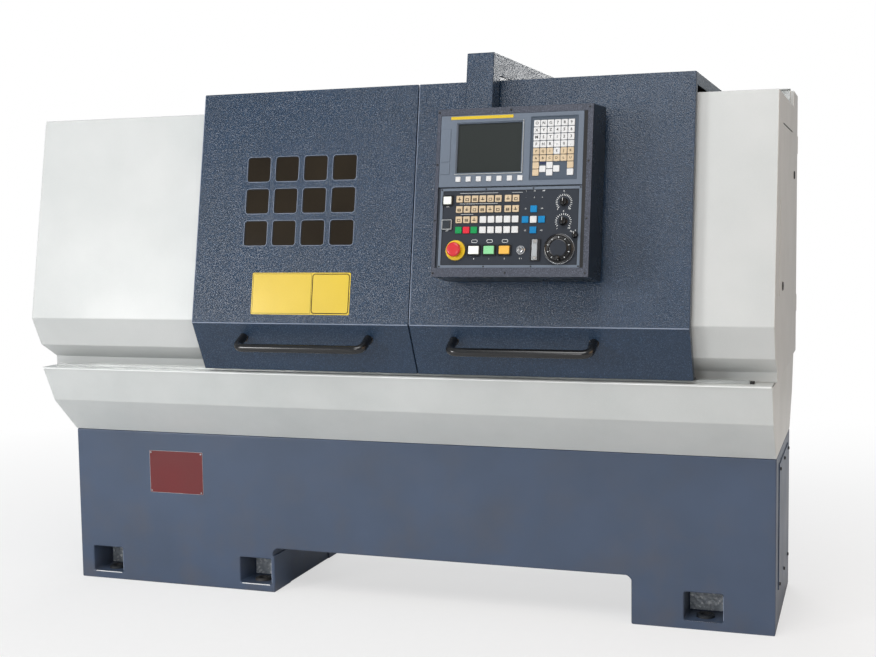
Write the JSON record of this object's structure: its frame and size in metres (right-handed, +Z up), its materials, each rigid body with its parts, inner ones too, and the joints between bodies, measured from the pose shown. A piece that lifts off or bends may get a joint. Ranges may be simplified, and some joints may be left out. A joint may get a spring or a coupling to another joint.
{
  "type": "cnc turning lathe",
  "caption": "Enclosed flat bed turning lathe: cast base, folded chip tray, sliding hood doors, control box on an arm, chuck, carriage, tailstock and rear cabinet.",
  "frame": {"origin": "on the floor at the centre of the base's four corner anchor holes", "axes": "+X to the operator's right along the bed, +Y to the back, +Z up"},
  "size_m": [2.314, 1.2841, 1.662],
  "materials": {
    "cast_navy": "semi-gloss machine enamel over cast iron",
    "cover_white": "fine textured light grey enamel",
    "tray_grey": "fine textured grey enamel",
    "door_navy": "hammered dark blue enamel",
    "window_smoke": "smoked pane",
    "handle_black": "black sleeve",
    "rail_steel": "bright folded steel",
    "unit_grey": "moulded grey housing",
    "screen_dark": "unlit screen",
    "key_ivory": "ivory keys",
    "panel_grey": "dark grey green panel",
    "cast_grey": "grey machine enamel, ways scraped",
    "steel": "ground steel",
    "motor_black": "black motor enamel",
    "belt_rubber": "black belt",
    "gear_zinc": "zinc plate with grey drive housings",
    "stop_red": "red",
    "cap_white": "white lens",
    "cap_green": "green lens",
    "cap_amber": "amber lens",
    "cap_dark": "dark lens",
    "knob_black": "black",
    "key_metal": "plated",
    "wheel_dark": "dark wheel"
  },
  "bodies": {
    "machine": {"base": "cast_navy", "end_plate": "cast_navy", "coolant_unit": "motor_black", "chip_tray": "tray_grey", "left_cover": "cover_white", "right_cover": "cover_white", "rear_guard": "cover_white", "lower_rail": "rail_steel", "upper_rail": "rail_steel", "control_arm": "door_navy", "control_box": "door_navy", "display_unit": "unit_grey", "screen": "screen_dark", "display_keys": "key_ivory", "operator_panel": "panel_grey", "panel_keys": "key_ivory", "bed": "cast_grey", "z_servo": "motor_black", "headstock": "cast_grey", "spindle_motor": "motor_black", "drive_belt": "belt_rubber", "cabinet": "cover_white", "cabinet_gear": "gear_zinc"},
    "left_door": {"left_door": "door_navy", "window_pane": "window_smoke", "left_handle": "handle_black"},
    "right_door": {"right_door": "door_navy", "right_handle": "handle_black"},
    "spindle": {"spindle": "steel", "spindle_pulley": "steel", "chuck_body": "steel"},
    "chuck_jaw_1": {"chuck_jaw_1": "steel"},
    "chuck_jaw_2": {"chuck_jaw_2": "steel"},
    "chuck_jaw_3": {"chuck_jaw_3": "steel"},
    "motor_pulley": {"motor_pulley": "steel"},
    "z_screw": {"z_screw": "steel"},
    "carriage": {"saddle": "cast_grey", "cross_servo": "motor_black"},
    "cross_screw": {"cross_screw": "steel"},
    "cross_slide": {"cross_slide": "cast_grey"},
    "tool_post": {"tool_post": "steel", "turning_tool": "steel"},
    "tailstock": {"tailstock": "cast_grey"},
    "quill": {"quill": "steel"},
    "tail_wheel": {"tail_wheel": "steel"},
    "tail_lever": {"tail_lever": "steel"},
    "cabinet_door": {"cabinet_door": "cover_white"},
    "cabinet_latch": {"cabinet_latch": "steel"},
    "main_switch": {"main_switch": "knob_black"},
    "stop_button": {"stop_button": "stop_red"},
    "power_on_button": {"power_on_button": "cap_white"},
    "power_off_button": {"power_off_button": "cap_dark"},
    "ready_button": {"ready_button": "cap_white"},
    "start_button": {"start_button": "cap_green"},
    "hold_button": {"hold_button": "cap_amber"},
    "key_switch": {"key_switch": "key_metal"},
    "feed_knob": {"feed_knob": "knob_black"},
    "speed_knob": {"speed_knob": "knob_black"},
    "axis_knob": {"axis_knob": "knob_black"},
    "pulse_wheel": {"pulse_wheel": "wheel_dark"}
  },
  "joints": [
    {"name": "left_door_slide", "type": "slide", "parent": "machine", "child": "left_door", "axis": [1, 0, 0], "range_m": [-0.59, 0]},
    {"name": "right_door_slide", "type": "slide", "parent": "machine", "child": "right_door", "axis": [1, 0, 0], "range_m": [0, 0.19]},
    {"name": "spindle_turn", "type": "hinge", "parent": "machine", "child": "spindle", "pos_m": [-0.701, -0.03, 1.09], "axis": [1, 0, 0], "continuous": true},
    {"name": "jaw_1_slide", "type": "slide", "parent": "spindle", "child": "chuck_jaw_1", "axis": [0, 0, 1], "range_m": [-0.005, 0.005]},
    {"name": "jaw_2_slide", "type": "slide", "parent": "spindle", "child": "chuck_jaw_2", "axis": [0, -0.866, -0.5], "range_m": [-0.005, 0.005]},
    {"name": "jaw_3_slide", "type": "slide", "parent": "spindle", "child": "chuck_jaw_3", "axis": [0, 0.866, -0.5], "range_m": [-0.005, 0.005]},
    {"name": "motor_pulley_turn", "type": "hinge", "parent": "machine", "child": "motor_pulley", "pos_m": [-1.041, -0.03, 0.29], "axis": [1, 0, 0], "continuous": true},
    {"name": "carriage_slide", "type": "slide", "parent": "machine", "child": "carriage", "axis": [1, 0, 0], "range_m": [0, 0.7]},
    {"name": "z_screw_turn", "type": "hinge", "parent": "machine", "child": "z_screw", "pos_m": [0.299, -0.23, 0.74], "axis": [1, 0, 0], "range_deg": [-10, 25210]},
    {"name": "cross_slide_travel", "type": "slide", "parent": "carriage", "child": "cross_slide", "axis": [0, 1, 0], "range_m": [0, 0.2]},
    {"name": "cross_screw_turn", "type": "hinge", "parent": "carriage", "child": "cross_screw", "pos_m": [-0.231, -0.08, 0.9053], "axis": [0, 1, 0], "range_deg": [-10, 14411]},
    {"name": "tool_post_index", "type": "hinge", "parent": "cross_slide", "child": "tool_post", "pos_m": [-0.231, -0.315, 1.1], "axis": [0, 0, 1], "continuous": true},
    {"name": "tailstock_slide", "type": "slide", "parent": "machine", "child": "tailstock", "axis": [1, 0, 0], "range_m": [-0.55, 0.12]},
    {"name": "quill_slide", "type": "slide", "parent": "tailstock", "child": "quill", "axis": [-1, 0, 0], "range_m": [0, 0.12]},
    {"name": "tail_wheel_turn", "type": "hinge", "parent": "tailstock", "child": "tail_wheel", "pos_m": [0.979, -0.03, 1.09], "axis": [1, 0, 0], "range_deg": [-10, 8651]},
    {"name": "tail_lever_turn", "type": "hinge", "parent": "tailstock", "child": "tail_lever", "pos_m": [0.814, -0.2, 0.9053], "axis": [0, 1, 0], "range_deg": [0, 60]},
    {"name": "cabinet_door_hinge", "type": "hinge", "parent": "machine", "child": "cabinet_door", "pos_m": [1.197, 0.5173, 1.2], "axis": [0, 0, -1], "range_deg": [0, 110]},
    {"name": "cabinet_latch_turn", "type": "hinge", "parent": "cabinet_door", "child": "cabinet_latch", "pos_m": [0.336, 0.52, 1.16], "axis": [0, -1, 0], "range_deg": [0, 90]},
    {"name": "main_switch_turn", "type": "hinge", "parent": "cabinet_door", "child": "main_switch", "pos_m": [0.499, 0.535, 1.43], "axis": [0, 1, 0], "range_deg": [0, 90]},
    {"name": "stop_button_press", "type": "slide", "parent": "machine", "child": "stop_button", "axis": [0, 0.9833, -0.1822], "range_m": [0, 0.005], "stiffness_N_per_m": 1500, "springref_m": -0.002},
    {"name": "ready_button_press", "type": "slide", "parent": "machine", "child": "ready_button", "axis": [0, 0.9833, -0.1822], "range_m": [0, 0.003], "stiffness_N_per_m": 800, "springref_m": -0.001},
    {"name": "start_button_press", "type": "slide", "parent": "machine", "child": "start_button", "axis": [0, 0.9833, -0.1822], "range_m": [0, 0.003], "stiffness_N_per_m": 800, "springref_m": -0.001},
    {"name": "hold_button_press", "type": "slide", "parent": "machine", "child": "hold_button", "axis": [0, 0.9833, -0.1822], "range_m": [0, 0.003], "stiffness_N_per_m": 800, "springref_m": -0.001},
    {"name": "power_on_button_press", "type": "slide", "parent": "machine", "child": "power_on_button", "axis": [0, 0.9833, -0.1822], "range_m": [0, 0.003], "stiffness_N_per_m": 800, "springref_m": -0.001},
    {"name": "power_off_button_press", "type": "slide", "parent": "machine", "child": "power_off_button", "axis": [0, 0.9833, -0.1822], "range_m": [0, 0.003], "stiffness_N_per_m": 800, "springref_m": -0.001},
    {"name": "key_switch_turn", "type": "hinge", "parent": "machine", "child": "key_switch", "pos_m": [0.5563, -0.63859, 1.11313], "axis": [0, -0.9833, 0.1822], "range_deg": [0, 90]},
    {"name": "feed_knob_turn", "type": "hinge", "parent": "machine", "child": "feed_knob", "pos_m": [0.67, -0.61526, 1.23899], "axis": [0, -0.9833, 0.1822], "range_deg": [-150, 150]},
    {"name": "speed_knob_turn", "type": "hinge", "parent": "machine", "child": "speed_knob", "pos_m": [0.67, -0.62474, 1.18786], "axis": [0, -0.9833, 0.1822], "range_deg": [-135, 135]},
    {"name": "axis_knob_turn", "type": "hinge", "parent": "machine", "child": "axis_knob", "pos_m": [0.7035, -0.63148, 1.15148], "axis": [0, -0.9833, 0.1822], "range_deg": [-45, 45]},
    {"name": "pulse_wheel_turn", "type": "hinge", "parent": "machine", "child": "pulse_wheel", "pos_m": [0.6615, -0.63814, 1.11559], "axis": [0, -0.9833, 0.1822], "continuous": true}
  ],
  "couplings": [
    {"joint": "jaw_2_slide", "follows": "jaw_1_slide", "ratio": 1},
    {"joint": "jaw_3_slide", "follows": "jaw_1_slide", "ratio": 1},
    {"joint": "motor_pulley_turn", "follows": "spindle_turn", "ratio": 1.5},
    {"joint": "z_screw_turn", "follows": "carriage_slide", "rad_per_m": 628.32},
    {"joint": "cross_screw_turn", "follows": "cross_slide_travel", "rad_per_m": 1256.6},
    {"joint": "tail_wheel_turn", "follows": "quill_slide", "rad_per_m": 1256.6}
  ]
}
